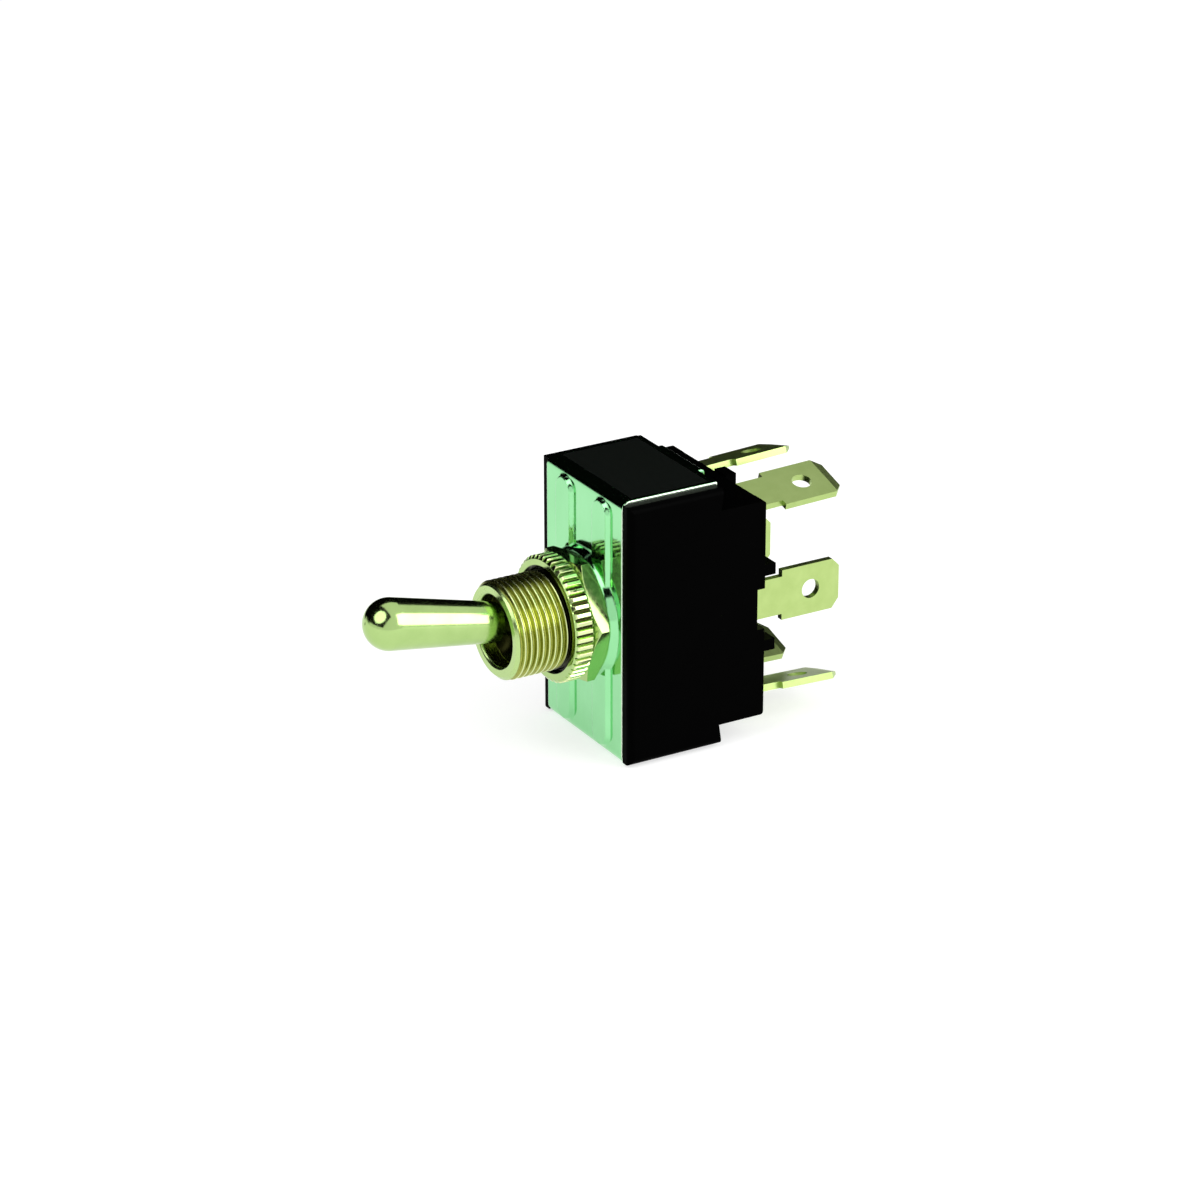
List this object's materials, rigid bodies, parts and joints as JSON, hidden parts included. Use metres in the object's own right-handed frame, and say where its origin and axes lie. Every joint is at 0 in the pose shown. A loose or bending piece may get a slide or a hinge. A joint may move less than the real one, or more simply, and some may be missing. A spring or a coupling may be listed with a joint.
{
  "type": "panel toggle switch",
  "caption": "Panel toggle switch with a bat lever, threaded bushing and nuts, ribbed metal frame, moulded case and blade terminals at its back.",
  "frame": {"origin": "on the bushing's axis, at the front face of the frame's plate", "axes": "-Y out of the panel along the bushing, +Y to the blades, +Z to the lever's stored side, +X across both poles"},
  "size_m": [0.0204, 0.0591, 0.0332],
  "materials": {
    "frame_sheet": "bright nickel plate",
    "nickel_plate": "bright nickel plate",
    "thread": "nickel plate, worn on the thread",
    "phenolic": "moulded, satin",
    "blade_plate": "tin plate",
    "contact_silver": "silver, satin",
    "rocker_plate": "silver plate",
    "spring_steel": "drawn",
    "nylon": "moulded",
    "plunger_brass": "turned",
    "fibre": "vulcanised fibre"
  },
  "bodies": {
    "body": {"case": "phenolic", "frame": "frame_sheet", "liner": "fibre", "bushing": "thread", "hex_nut": "nickel_plate", "knurled_nut": "nickel_plate", "terminal_upper_right": "blade_plate", "terminal_middle_right": "blade_plate", "terminal_lower_right": "blade_plate", "terminal_upper_left": "blade_plate", "terminal_middle_left": "blade_plate", "terminal_lower_left": "blade_plate", "fixed_contact_upper_right": "contact_silver", "fixed_contact_lower_right": "contact_silver", "fixed_contact_upper_left": "contact_silver", "fixed_contact_lower_left": "contact_silver"},
    "lever": {"lever": "nickel_plate", "pivot_pin": "spring_steel", "holder": "nylon", "plunger_spring_right": "spring_steel", "plunger_spring_left": "spring_steel"},
    "rocker_right": {"rocker_right": "rocker_plate", "moving_contact_upper_right": "contact_silver", "moving_contact_lower_right": "contact_silver"},
    "rocker_left": {"rocker_left": "rocker_plate", "moving_contact_upper_left": "contact_silver", "moving_contact_lower_left": "contact_silver"},
    "plunger_right": {"plunger_right": "plunger_brass"},
    "plunger_left": {"plunger_left": "plunger_brass"}
  },
  "joints": [
    {"name": "lever_pivot", "type": "hinge", "parent": "body", "child": "lever", "pos_m": [0, -0.0063, 0], "axis": [1, 0, 0], "range_deg": [0, 23.2]},
    {"name": "rocker_right_pivot", "type": "hinge", "parent": "body", "child": "rocker_right", "pos_m": [0.00455, 0.01365, 0], "axis": [-1, 0, 0], "range_deg": [0, 12]},
    {"name": "rocker_left_pivot", "type": "hinge", "parent": "body", "child": "rocker_left", "pos_m": [-0.00455, 0.01365, 0], "axis": [-1, 0, 0], "range_deg": [0, 12]},
    {"name": "plunger_right_slide", "type": "slide", "parent": "lever", "child": "plunger_right", "axis": [0, -0.9796, 0.2011], "range_m": [0, 0.001], "stiffness_N_per_m": 500, "springref_m": -0.002, "deforming": ["plunger_spring_right"]},
    {"name": "plunger_left_slide", "type": "slide", "parent": "lever", "child": "plunger_left", "axis": [0, -0.9796, 0.2011], "range_m": [0, 0.001], "stiffness_N_per_m": 500, "springref_m": -0.002, "deforming": ["plunger_spring_left"]}
  ],
  "couplings": [
    {"joint": "rocker_right_pivot", "follows": "lever_pivot", "ratio": 0.51724},
    {"joint": "rocker_left_pivot", "follows": "lever_pivot", "ratio": 0.51724}
  ]
}
